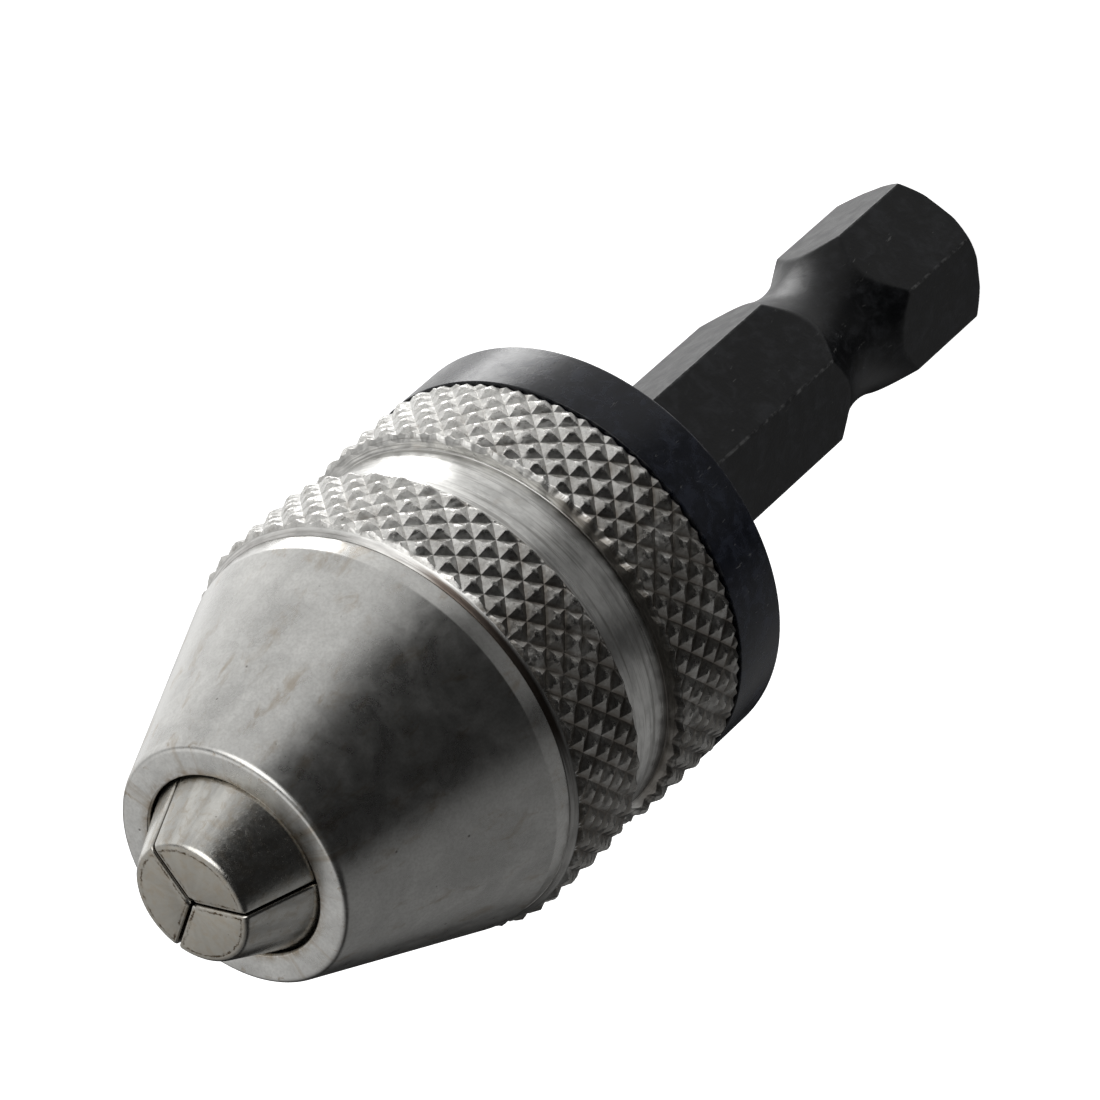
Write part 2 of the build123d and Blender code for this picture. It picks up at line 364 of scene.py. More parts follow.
class Shader(Wiring):
    """Wires one material, with places on the piece read in millimetres."""

    def __init__(self, name: str) -> None:
        """Starts a material with one Principled surface."""
        self.material = bpy.data.materials.new(name)
        self.material.use_nodes = True
        super().__init__(self.material.node_tree)
        self.surface = self.tree.nodes["Principled BSDF"]
        metres = self.node("ShaderNodeTexCoord").outputs["Object"]
        self.place = self.vector("SCALE", metres, scale=1 / MM)
        self.x, self.y, self.z = self.parts(self.place)
        x_squared, y_squared = self.maths("MULTIPLY", self.x, self.x), self.maths("MULTIPLY", self.y, self.y)
        self.radius = self.maths("SQRT", self.maths("ADD", x_squared, y_squared))

    def noise(self, place: Socket, scale: float, detail: float = 3.0, rough: float = 0.55,
              warp: float = 0.0) -> Socket:
        """Adds grain with that many features to the millimetre, from 0 to 1."""
        grain = self.node("ShaderNodeTexNoise")
        for socket, value in (("Vector", place), ("Scale", scale), ("Detail", detail), ("Roughness", rough),
                              ("Distortion", warp)):
            self.feed(grain.inputs[socket], value)
        return grain.outputs["Fac"]

    def specks(self, place: Socket, scale: float, size: float, share: float) -> Socket:
        """Scatters small round specks, from 0 to 1.

        Args:
            place: where they lie, in mm.
            scale: how many could lie along a millimetre.
            size: their radius as a share of their spacing.
            share: the share of them that is there.

        Returns:
            1 inside a speck and 0 outside.
        """
        cells = self.node("ShaderNodeTexVoronoi")
        self.feed(cells.inputs["Vector"], place)
        self.feed(cells.inputs["Scale"], scale)
        chance = self.parts(cells.outputs["Color"])[0]
        fray = 0.08
        frayed = self.maths("MULTIPLY", self.noise(place, 9.0), fray)
        ragged = self.maths("ADD", cells.outputs["Distance"], frayed)
        inside = self.step(ragged, size + fray, size)
        return self.maths("MULTIPLY", inside, self.maths("LESS_THAN", chance, share))

    def mixed(self, share: Feed, a: Socket | Colour, b: Socket | Colour) -> Socket:
        """Mixes two colours."""
        mix = self.node("ShaderNodeMix")
        mix.data_type = "RGBA"
        self.feed(mix.inputs["Factor"], share)
        coloured = [s for s in mix.inputs if s.type == "RGBA"]
        for socket, colour in zip(coloured, (a, b)):
            self.feed(socket, colour if isinstance(colour, bpy.types.NodeSocket) else (*colour, 1.0))
        return next(s for s in mix.outputs if s.type == "RGBA")

    def bump(self, height: Socket, depth: float, under: Socket | None = None) -> Socket:
        """Raises a surface by a height from 0 to 1 times a depth in mm, over an earlier bump or alone."""
        raised = self.node("ShaderNodeBump")
        self.feed(raised.inputs["Height"], height)
        self.feed(raised.inputs["Distance"], depth * MM)
        if under is not None:
            self.feed(raised.inputs["Normal"], under)
        return raised.outputs["Normal"]

    def rings(self, across: float, along: float = 2.0) -> Socket:
        """Places whose noise runs in fine rings about the axis, on a face, a cone or a cylinder alike."""
        unit_x = self.maths("DIVIDE", self.x, self.radius)
        unit_y = self.maths("DIVIDE", self.y, self.radius)
        slant = self.maths("SUBTRACT", self.z, self.maths("MULTIPLY", self.radius, 1.7))
        return self.joined(self.maths("MULTIPLY", unit_x, along), self.maths("MULTIPLY", unit_y, along),
                           self.maths("MULTIPLY", slant, across))

    def sided(self, radius: float) -> Socket:
        """The side turned away from the key lamp, where the finishes paint shade over their dirt and oil,
        from 0 to 1.
        """
        # Painted shade: a side fixed on the piece, facing the camera's right and away from the key lamp.
        shade_side = (-0.78, -0.62, 0.0)
        return self.step(self.vector("DOT_PRODUCT", self.place, shade_side), 0.5 * radius, 0.9 * radius)

    def strokes(self, across: float, along: float) -> Socket:
        """Places whose noise runs in strokes up and down a cone or a cylinder."""
        unit_x = self.maths("DIVIDE", self.x, self.radius)
        unit_y = self.maths("DIVIDE", self.y, self.radius)
        return self.joined(self.maths("MULTIPLY", unit_x, across), self.maths("MULTIPLY", unit_y, across),
                           self.maths("MULTIPLY", self.z, along))

    def finish(self, colour: Socket, rough: Feed, normal: Socket, metallic: float) -> bpy.types.Material:
        """Sets the surface's own sockets and hands over the material."""
        self.feed(self.surface.inputs["Base Color"], colour)
        self.feed(self.surface.inputs["Roughness"], rough)
        self.feed(self.surface.inputs["Normal"], normal)
        self.feed(self.surface.inputs["Metallic"], metallic)
        return self.material


@dataclass(frozen=True)
class SatinSteel:
    """Tumbled nickel-grey steel: an even satin grain, faint brown smudges, small dark pits."""

    name: str
    base: Colour = (0.70, 0.695, 0.67)
    smudge: Colour = (0.37, 0.305, 0.225)
    grain_grey: Colour = (0.36, 0.35, 0.33)
    cloud_grey: Colour = (0.40, 0.39, 0.37)
    grime_brown: Colour = (0.27, 0.20, 0.12)
    pit_black: Colour = (0.08, 0.07, 0.06)
    rough: float = 0.25
    smudged: float = 0.6
    pitted: float = 0.22
    mouth_radius: float = 3.9
    nose_radius: float = 5.0
    nose_z: float = 46.43

    def material(self) -> bpy.types.Material:
        """Builds the finish."""
        s = Shader(self.name)
        cloud = s.noise(s.place, 0.5, 5.0, 0.62, 0.6)
        tone = s.mixed(s.step(cloud, 0.3, 0.7), faded(self.base, 0.78), self.base)
        grain = s.noise(s.place, 8.5, 1.5, 0.6)
        tone = s.mixed(s.step(grain, 0.34, 0.62, 0.22, 0.0), tone, self.grain_grey)
        mid = s.noise(s.place, 2.6, 3.0, 0.6)
        tone = s.mixed(s.step(mid, 0.38, 0.62, 0.13, 0.0), tone, self.cloud_grey)
        stain = s.step(s.noise(s.strokes(7.0, 0.55), 1.0, 5.0, 0.68, 0.4), 0.53, 0.72)
        tone = s.mixed(s.maths("MULTIPLY", stain, self.smudged), tone, self.smudge)
        tone = s.mixed(s.maths("MULTIPLY", self.grime(s), 0.75), tone, self.grime_brown)
        pits = s.specks(s.place, 1.3, 0.06, self.pitted)
        tone = s.mixed(s.maths("MULTIPLY", pits, 0.8), tone, self.pit_black)
        rough = s.maths("ADD", s.step(cloud, 0.3, 0.8, self.rough - 0.03, self.rough + 0.08),
                        s.maths("MULTIPLY", mid, 0.08))
        normal = s.bump(grain, 0.001)
        normal = s.bump(mid, 0.003, normal)
        normal = s.bump(s.noise(s.rings(9.0), 1.0, 3.0, 0.6), 0.0012, normal)
        normal = s.bump(s.maths("SUBTRACT", 1.0, pits), 0.008, normal)
        return s.finish(tone, rough, normal, 1.0)

    def grime(self, s: Shader) -> Socket:
        """Finds the old dirt on the nose face: close round the mouth, and in small marks near the rim."""
        face = s.step(s.z, self.nose_z - 0.35, self.nose_z - 0.02)
        lip = s.step(s.radius, self.mouth_radius + 0.42, self.mouth_radius - 0.05)
        rim = s.step(s.radius, self.nose_radius - 0.5, self.nose_radius - 0.1, 0.0, 0.8)
        marks = s.noise(s.place, 2.2, 5.0, 0.7, 0.8)
        close = s.maths("MULTIPLY", lip, s.step(marks, 0.30, 0.66))
        near_rim = s.maths("MULTIPLY", rim, s.step(marks, 0.56, 0.68))
        return s.maths("MULTIPLY", s.maths("MAXIMUM", close, near_rim), face)


@dataclass(frozen=True)
class TurnedSteel:
    """Bright lathe-turned steel: fine rings left by the tool, lighter and darker bands, a few grooves, and
    two crevices darkened by painted shade with a brown dirt tint, most on the side turned from the key lamp.
    """

    name: str
    base: Colour = (0.74, 0.735, 0.71)
    line_grey: Colour = (0.25, 0.24, 0.225)
    stain_brown: Colour = (0.42, 0.34, 0.25)
    crevice_dirt_and_shade: Colour = (0.10, 0.075, 0.05)
    seam_dirt_and_shade: Colour = (0.07, 0.045, 0.03)
    seam_shade_side: tuple[float, float, float] = (-0.34, -0.94, 0.0)
    rough: float = 0.22
    tool_depth: float = 0.009
    crevice_z: float = 30.2
    seam_z: float = 37.0
    radius: float = 8.5

    def material(self) -> bpy.types.Material:
        """Builds the finish."""
        s = Shader(self.name)
        lines = s.noise(s.rings(6.0, 1.5), 1.0, 2.5, 0.65)
        bands = s.noise(s.rings(1.6, 6.0), 1.0, 4.0, 0.65)
        tone = s.mixed(s.step(bands, 0.35, 0.65), faded(self.base, 0.70), self.base)
        tone = s.mixed(s.step(lines, 0.50, 0.66, 0.0, 0.55), tone, self.line_grey)
        cloud = s.noise(s.place, 1.1, 4.0, 0.6, 0.5)
        tone = s.mixed(s.step(cloud, 0.60, 0.78, 0.0, 0.22), tone, self.stain_brown)
        # Painted shade with a brown dirt tint: the corner at the groove's rear wall is darkened lightly all
        # round and heavily on the side turned from the key lamp.
        near = s.step(s.maths("ABSOLUTE", s.maths("SUBTRACT", s.z, self.crevice_z)), 0.22, 0.08)
        crevice_shade = s.maths("MULTIPLY", near, s.step(s.sided(self.radius), 0.0, 0.4, 0.1, 0.65))
        tone = s.mixed(crevice_shade, tone, self.crevice_dirt_and_shade)
        # Painted shade with a brown dirt tint: the seam where the grip meets the hood is darkened lightly
        # all round and heavily on the side turned from the key lamp.
        seam = s.step(s.maths("ABSOLUTE", s.maths("SUBTRACT", s.z, self.seam_z)), 0.18, 0.07)
        toward_seam_shade = s.vector("DOT_PRODUCT", s.place, self.seam_shade_side)
        seam_shade = s.step(toward_seam_shade, 0.84 * self.radius, 0.93 * self.radius, 0.2, 0.9)
        tone = s.mixed(s.maths("MULTIPLY", seam, seam_shade), tone, self.seam_dirt_and_shade)
        rough = s.maths("ADD", s.step(lines, 0.2, 0.8, self.rough, self.rough + 0.12),
                        s.maths("MULTIPLY", cloud, 0.08))
        normal = s.bump(lines, self.tool_depth)
        normal = s.bump(s.noise(s.place, 8.0, 2.0, 0.6), 0.0025, normal)
        return s.finish(tone, rough, normal, 1.0)


@dataclass(frozen=True)
class KnurledSteel:
    """Pressed diamond knurling: bright rubbed points, flanks with torn grain, old dirt at the bottoms, with
    painted shade making the dirt and the oil film heavier on the side turned from the key lamp.
    """

    name: str
    crest: float
    root: float
    base: Colour = (0.76, 0.75, 0.72)
    torn_grey: Colour = (0.20, 0.185, 0.16)
    film: Colour = (0.16, 0.145, 0.125)
    # The dirt colour here is laid as old dirt and, on the side turned from the key lamp, as painted shade.
    dirt: Colour = (0.17, 0.125, 0.085)
    rough: float = 0.21

    def material(self) -> bpy.types.Material:
        """Builds the finish."""
        s = Shader(self.name)
        height = s.step(s.radius, self.root, self.crest)
        torn = s.noise(s.place, 5.0, 4.0, 0.75, 0.6)
        tone = s.mixed(s.step(torn, 0.3, 0.7), faded(self.base, 0.66), self.base)
        tone = s.mixed(s.step(torn, 0.56, 0.68, 0.0, 0.75), tone, self.torn_grey)
        # Painted shade: the sided share raises the cloud on the side turned from the key lamp, so the valley
        # dirt and the oil film darken there as painted shade; the noise gives the real dirt and film.
        cloud = s.maths("ADD", s.noise(s.place, 0.8, 4.0, 0.6, 0.4),
                        s.maths("MULTIPLY", s.sided(self.crest), 0.26))
        patch = s.step(cloud, 0.56, 0.80, 0.0, 0.6)
        tone = s.mixed(s.maths("MULTIPLY", s.step(height, 0.30, 0.02), patch), tone, self.dirt)
        film_and_shade = s.maths("MULTIPLY", s.step(cloud, 0.45, 0.85, 0.0, 0.72),
                         s.step(height, 1.0, 0.6, 0.7, 1.0))
        tone = s.mixed(film_and_shade, tone, self.film)
        rough = s.maths("ADD", s.step(height, 0.0, 1.0, self.rough + 0.08, self.rough),
                        s.maths("MULTIPLY", torn, 0.1))
        normal = s.bump(torn, 0.018)
        normal = s.bump(s.noise(s.place, 9.0, 2.0, 0.7), 0.006, normal)
        return s.finish(tone, rough, normal, 1.0)


class Wear(Enum):
    """Where a blackened piece is rubbed lighter."""

    HEX_CORNERS = "hex corners"
    RIMS = "rims"


@dataclass(frozen=True)
class BlackOxide:
    """Blackened steel: blue-black, faint mottling and scratches, rubbed lighter on its edges."""

    name: str
    wear: Wear
    extent: Extent
    base: Colour = (0.006, 0.0062, 0.0072)
    worn: Colour = (0.045, 0.045, 0.045)
    scratch: Colour = (0.07, 0.07, 0.068)
    mottle_gain: float = 4.5
    rough: float = 0.34
    mottled: float = 0.5
    specular: float = 0.24

    def edge(self, s: Shader) -> Socket:
        """Finds the rubbed edges, from 0 to 1."""
        if self.wear is Wear.HEX_CORNERS:
            return s.step(s.radius, self.extent.radius - 0.05, self.extent.radius - 0.02)
        rear = s.step(s.z, self.extent.low + 0.20, self.extent.low + 0.08)
        front = s.step(s.z, self.extent.high - 0.07, self.extent.high - 0.02, 0.0, 0.5)
        outside = s.step(s.radius, self.extent.radius - 0.28, self.extent.radius - 0.16)
        return s.maths("MULTIPLY", s.maths("MAXIMUM", rear, front), outside)

    def material(self) -> bpy.types.Material:
        """Builds the finish."""
        s = Shader(self.name)
        mottle = s.noise(s.place, 1.4, 5.0, 0.65, 0.5)
        lighter = faded(self.base, self.mottle_gain)
        tone = s.mixed(s.step(mottle, 0.42, 0.72, 0.0, self.mottled), self.base, lighter)
        across, along = 6.0, 1.1
        drawn = s.joined(s.maths("MULTIPLY", s.x, across), s.maths("MULTIPLY", s.y, across),
                         s.maths("MULTIPLY", s.z, along))
        scratches = s.step(s.noise(drawn, 1.0, 2.0, 0.5, 1.6), 0.70, 0.77)
        tone = s.mixed(s.maths("MULTIPLY", scratches, 0.45), tone, self.scratch)
        patchy = s.step(s.noise(s.place, 3.0, 3.0, 0.6), 0.42, 0.68, 0.08, 0.9)
        rubbed = s.maths("MULTIPLY", self.edge(s), patchy)
        tone = s.mixed(rubbed, tone, self.worn)
        rough = s.maths("ADD", s.step(mottle, 0.2, 0.8, self.rough - 0.05, self.rough + 0.08),
                        s.maths("MULTIPLY", scratches, 0.1))
        normal = s.bump(s.noise(s.place, 8.0, 4.0, 0.65), 0.005)
        normal = s.bump(mottle, 0.008, normal)
        s.surface.inputs["Specular IOR Level"].default_value = self.specular
        return s.finish(tone, rough, normal, 0.0)


@dataclass(frozen=True)
class JawSteel:
    """Ground jaw steel, warm on its flat end, with a broken line of dirt just inside the end's edges, and
    painted shade with a dirt tint on the flanks at the slits.
    """

    name: str
    angle: float
    tip_radius: float
    tip_z: float
    base: Colour = (0.70, 0.69, 0.65)
    face: Colour = (0.40, 0.38, 0.335)
    blotch_brown: Colour = (0.40, 0.33, 0.24)
    # The dirt colour also darkens the flanks at the slits as painted shade.
    dirt: Colour = (0.09, 0.065, 0.04)
    rough: float = 0.19

    def material(self) -> bpy.types.Material:
        """Builds the finish."""
        s = Shader(self.name)
        turn = math.radians(self.angle)
        ahead = s.vector("DOT_PRODUCT", s.place, (math.cos(turn), math.sin(turn), 0))
        aside = s.maths("ABSOLUTE", s.vector("DOT_PRODUCT", s.place, (-math.sin(turn), math.cos(turn), 0)))
        flank = s.maths("SUBTRACT", s.maths("MULTIPLY", ahead, math.sin(math.pi / 3)),
                        s.maths("MULTIPLY", aside, math.cos(math.pi / 3)))
        outside = s.maths("SUBTRACT", self.tip_radius, s.radius)
        inside = s.maths("MINIMUM", s.maths("ADD", flank, 0.05), outside)
        end_face = s.step(s.z, self.tip_z - 0.06, self.tip_z - 0.01)
        torn = s.noise(s.place, 6.0, 4.0, 0.65, 0.3)
        jagged = s.maths("MULTIPLY", s.maths("SUBTRACT", s.noise(s.place, 7.0, 3.0, 0.7), 0.5), 0.26)
        near = s.maths("ABSOLUTE", s.maths("SUBTRACT", s.maths("ADD", inside, jagged), 0.25))
        broken = s.step(s.noise(s.place, 2.6, 3.0, 0.7), 0.40, 0.60, 0.12, 1.0)
        grime = s.maths("MULTIPLY", s.maths("MULTIPLY", s.step(near, 0.055, 0.018), broken), end_face)
        # Painted shade with a dirt tint: the flanks facing the slits between the jaws, and a thin strip
        # beside them, are darkened.
        crevice_shade = s.step(flank, 0.10, 0.03, 0.0, 0.85)
        streaks = s.noise(s.strokes(4.5, 0.3), 1.0, 4.0, 0.6)
        tone = s.mixed(s.step(streaks, 0.35, 0.62), faded(self.base, 0.68), self.base)
        tone = s.mixed(s.maths("MULTIPLY", end_face, 0.85), tone, self.face)
        blotch = s.step(s.noise(s.place, 2.4, 4.0, 0.65, 0.6), 0.42, 0.70, 0.0, 0.45)
        tone = s.mixed(blotch, tone, self.blotch_brown)
        tone = s.mixed(s.maths("MAXIMUM", grime, crevice_shade), tone, self.dirt)
        pits = s.specks(s.place, 2.2, 0.07, 0.3)
        tone = s.mixed(s.maths("MULTIPLY", pits, 0.7), tone, self.dirt)
        rough = s.maths("ADD", s.maths("MULTIPLY", end_face, 0.22),
                        s.step(torn, 0.2, 0.8, self.rough, self.rough + 0.1))
        normal = s.bump(torn, 0.006)
        normal = s.bump(streaks, 0.005, normal)
        return s.finish(tone, rough, normal, 1.0)


@dataclass(frozen=True)
class OiledMetal:
    """A machined inner part with fine rings and a thin film of old oil."""

    name: str
    base: Colour
    rough: float = 0.25
    oil: Colour = (0.30, 0.22, 0.13)

    def material(self) -> bpy.types.Material:
        """Builds the finish."""
        s = Shader(self.name)
        lines = s.noise(s.rings(6.0), 1.0, 4.0, 0.65)
        film = s.noise(s.place, 0.9, 4.0, 0.6, 0.8)
        tone = s.mixed(lines, faded(self.base, 0.8), self.base)
        tone = s.mixed(s.step(film, 0.45, 0.75, 0.0, 0.4), tone, self.oil)
        rough = s.step(film, 0.3, 0.7, self.rough + 0.1, self.rough)
        normal = s.bump(lines, 0.004)
        normal = s.bump(s.noise(s.place, 9.0, 3.0, 0.6), 0.003, normal)
        return s.finish(tone, rough, normal, 1.0)


def dress(piece: bpy.types.Object, *materials: bpy.types.Material) -> None:
    """Gives a piece its materials in place of any that it has.

    Args:
        piece: a new piece or a CAD node's object.
        materials: materials in the order of the faces' indices.
    """
    piece.data.materials.clear()
    for material in materials:
        piece.data.materials.append(material)


def stand_in(piece: bpy.types.Object, body: str, node: str) -> None:
    """Rides a piece on its body in place of a CAD node, and reports it.

    Args:
        piece: the new piece.
        body: the CAD body that it moves with.
        node: the CAD node that it stands for.
    """
    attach(piece, body)
    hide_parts(node)
    LOG.info("%s rides on %s: %d faces", piece.name, body, len(piece.data.polygons))


# ---------------------------------------------------------------------------------------------------------
# Sub-assemblies
# ---------------------------------------------------------------------------------------------------------


@dataclass
class Shank:
    """The black hexagonal shank with its detent groove, and the black collar behind the sleeve."""

    across_flats: float = 6.35
    corner_round: float = 0.05
    end_radius: float = 3.2
    end_chamfer: float = 0.45
    end_break: float = 0.01
    end_rings: tuple[float, float] = (0.3, 0.96)
    detent_z: float = 7.7
    detent_radius: float = 2.78
    detent_half_length: float = 2.8
    spigot_radius: float = 3.0
    hex_front: float = 24.2
    columns: int = 432
    collar_chamfer: float = 0.12
    collar_bore: float = 5.5
    collar_web: float = 0.8
    web_hole: float = 3.75

    def hexagon(self, angle: np.ndarray) -> np.ndarray:
        """The hexagon's radius at each angle, with its corners a little rounded.

        Args:
            angle: angles about the axis, in radians.

        Returns:
            Radii in mm.
        """
        sixth = math.pi / 3
        from_flat = (angle % sixth) - sixth / 2
        flat = self.across_flats / 2 / np.cos(from_flat)
        beside = self.across_flats / 2 / np.cos(sixth - np.abs(from_flat))
        return soft_least(flat, beside, self.corner_round)

    def detent(self, z: np.ndarray) -> np.ndarray:
        """The detent groove's radius at each height: the inside of a ring of round section.

        Args:
            z: heights in mm.

        Returns:
            Radii in mm, far outside the hexagon away from the groove.
        """
        depth = self.across_flats / math.sqrt(3) - self.detent_radius
        arc = (self.detent_half_length**2 + depth**2) / (2 * depth)
        inside = np.clip(arc**2 - (z - self.detent_z) ** 2, 0, None)
        return self.detent_radius + arc - np.sqrt(inside)

    def heights(self) -> np.ndarray:
        """Rows along the hexagon, close together where its shape changes.

        Returns:
            Heights in mm.
        """
        groove_low = self.detent_z - self.detent_half_length - 0.5
        groove_high = self.detent_z + self.detent_half_length + 0.5
        return np.concatenate((
            np.arange(0.0, 1.0, 0.05),
            np.arange(1.0, groove_low, 0.4),
            np.arange(groove_low, groove_high, 0.07),
            np.arange(groove_high, self.hex_front, 0.8),
            [self.hex_front],
        ))

    def hex_shank(self) -> bpy.types.Object:
        """Builds the shank from its end face to its hidden spigot."""
        z = self.heights()[:, None]
        angle = np.linspace(0, 2 * math.pi, self.columns, endpoint=False)[None, :]
        slope = (self.across_flats / math.sqrt(3) - self.end_radius) / self.end_chamfer
        radius = soft_least(self.hexagon(angle), self.detent(z), 0.07)
        radius = soft_least(radius, self.end_radius + slope * z, 0.04)
        rows = [wound(radius[:1] * share, 0.0, angle) for share in self.end_rings]
        rows.append(wound(radius[:1] * (1 - self.end_break), self.end_break, angle))
        rows.append(wound(radius[1:], z[1:], angle))
        ends = (self.hex_front, Extent.of("hex_shank").high)
        rows += [wound(np.array([[self.spigot_radius]]), end, angle) for end in ends]
        return skin("shank_hexagon", np.concatenate(rows), closed=False)

    def collar(self) -> bpy.types.Object:
        """Builds the collar, with its rear chamfer and a web that closes round the hexagon."""
        size = Extent.of("back_ring")
        web = size.low + self.collar_web
        return turned("shank_collar", (
            Corner(self.web_hole, size.low, 0.05),
            Corner(size.radius - self.collar_chamfer, size.low, 0.06),
            Corner(size.radius, size.low + self.collar_chamfer, 0.06),
            Corner(size.radius, size.high, 0.07),
            Corner(self.collar_bore, size.high),
            Corner(self.collar_bore, web),
            Corner(self.web_hole, web),
        ), columns=320)

    def build(self) -> None:
        """Builds, dresses and places both pieces."""
        shank = self.hex_shank()
        corner = Extent(self.across_flats / math.sqrt(3), 0.0, self.hex_front)
        shank_black = BlackOxide("shank_black", Wear.HEX_CORNERS, corner, base=(0.0019, 0.0020, 0.0023),
                                 rough=0.36, mottled=0.9, specular=0.22)
        dress(shank, shank_black.material())
        stand_in(shank, "shank", "hex_shank")
        collar = self.collar()
        collar_black = BlackOxide("collar_black", Wear.RIMS, Extent.of("back_ring"),
                                  base=(0.0028, 0.0034, 0.0056), rough=0.24, mottled=0.5, specular=0.28)
        dress(collar, collar_black.material())
        stand_in(collar, "shank", "back_ring")


@dataclass
class Barrel:
    """The screwed barrel that the sleeve runs on, with its thread cut as a real helix."""

    pitch: float = 1.0
    crest: float = 6.73
    root: float = 6.2
    boss_radius: float = 5.5
    pilot_radius: float = 3.0
    tail_bore: float = 1.9
    spigot_bore: float = 3.0
    spigot_front: float = 28.6
    collar_front: float = 26.2
    face_z: float = 35.7
    relief: float = 0.5
    ring_groove_root: float = 6.3
    ring_groove: tuple[float, float] = (34.55, 35.35)
    columns: int = 192

    def thread(self, angle: np.ndarray, z: np.ndarray) -> np.ndarray:
        """The right-hand thread's radius, with flat crests and roots.

        Args:
            angle: angles in radians.
            z: heights in mm.

        Returns:
            Radii in mm.
        """
        phase = z / self.pitch - angle / (2 * math.pi)
        ramp = np.abs((phase % 1) - 0.5) * 2
        return self.root + (self.crest - self.root) * np.clip((ramp - 0.2) / 0.65, 0, 1)

    def barrel(self) -> bpy.types.Object:
        """Builds the barrel from one outline, threaded where the outline stands at the crest's radius."""
        size = Extent.of("chuck_body")
        groove_low, groove_high = self.ring_groove
        outline = spread(rounded((
            Corner(self.spigot_bore, size.low),
            Corner(self.boss_radius, size.low),
            Corner(self.boss_radius, self.collar_front),
            Corner(self.root - 0.05, self.collar_front),
            Corner(self.root - 0.05, self.collar_front + self.relief),
            Corner(self.crest, self.collar_front + self.relief + 0.3),
            Corner(self.crest, groove_low),
            Corner(self.ring_groove_root, groove_low),
            Corner(self.ring_groove_root, groove_high),
            Corner(self.crest, groove_high),
            Corner(self.crest, self.face_z, 0.15),
            Corner(self.pilot_radius, self.face_z),
            Corner(self.pilot_radius, size.high, 0.15),
            Corner(self.tail_bore, size.high, 0.15),
            Corner(self.tail_bore, self.spigot_front),
            Corner(self.spigot_bore, self.spigot_front),
        )), 0.08)
        radius, z = outline[:, :1], outline[:, 1:]
        angle = np.linspace(0, 2 * math.pi, self.columns, endpoint=False)[None, :]
        screwed = (z > self.collar_front) & (radius > self.root)
        cut = np.where(screwed, np.minimum(radius, self.thread(angle, z)), radius)
        return skin("threaded_barrel", wound(cut, z, angle), closed=True)

    def build(self) -> None:
        """Builds the barrel and dresses the small parts that stay as the frame has them."""
        barrel = self.barrel()
        dress(barrel, OiledMetal("barrel_steel", (0.52, 0.51, 0.49)).material())
        stand_in(barrel, "shank", "chuck_body")
        for node, base in (("lock_pin", (0.55, 0.54, 0.52)), ("stop_ring", (0.40, 0.39, 0.37)),
                           ("rear_race", (0.60, 0.59, 0.57))):
            dress(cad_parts[node], OiledMetal(f"{node}_steel", base, 0.22).material())


@dataclass
class Bearing:
    """The thrust balls, their cage and the seat that the jaws stand on."""

    ball: Colour = (0.72, 0.72, 0.71)
    brass: Colour = (0.72, 0.52, 0.24)
    seat: Colour = (0.58, 0.57, 0.55)

    def build(self) -> None:
        """Dresses the pieces, which keep their CAD shapes."""
        dress(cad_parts["thrust_balls"], OiledMetal("ball_steel", self.ball, 0.08).material())
        dress(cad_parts["ball_cage"], OiledMetal("cage_brass", self.brass, 0.30).material())
        dress(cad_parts["jaw_seat"], OiledMetal("seat_steel", self.seat, 0.22).material())


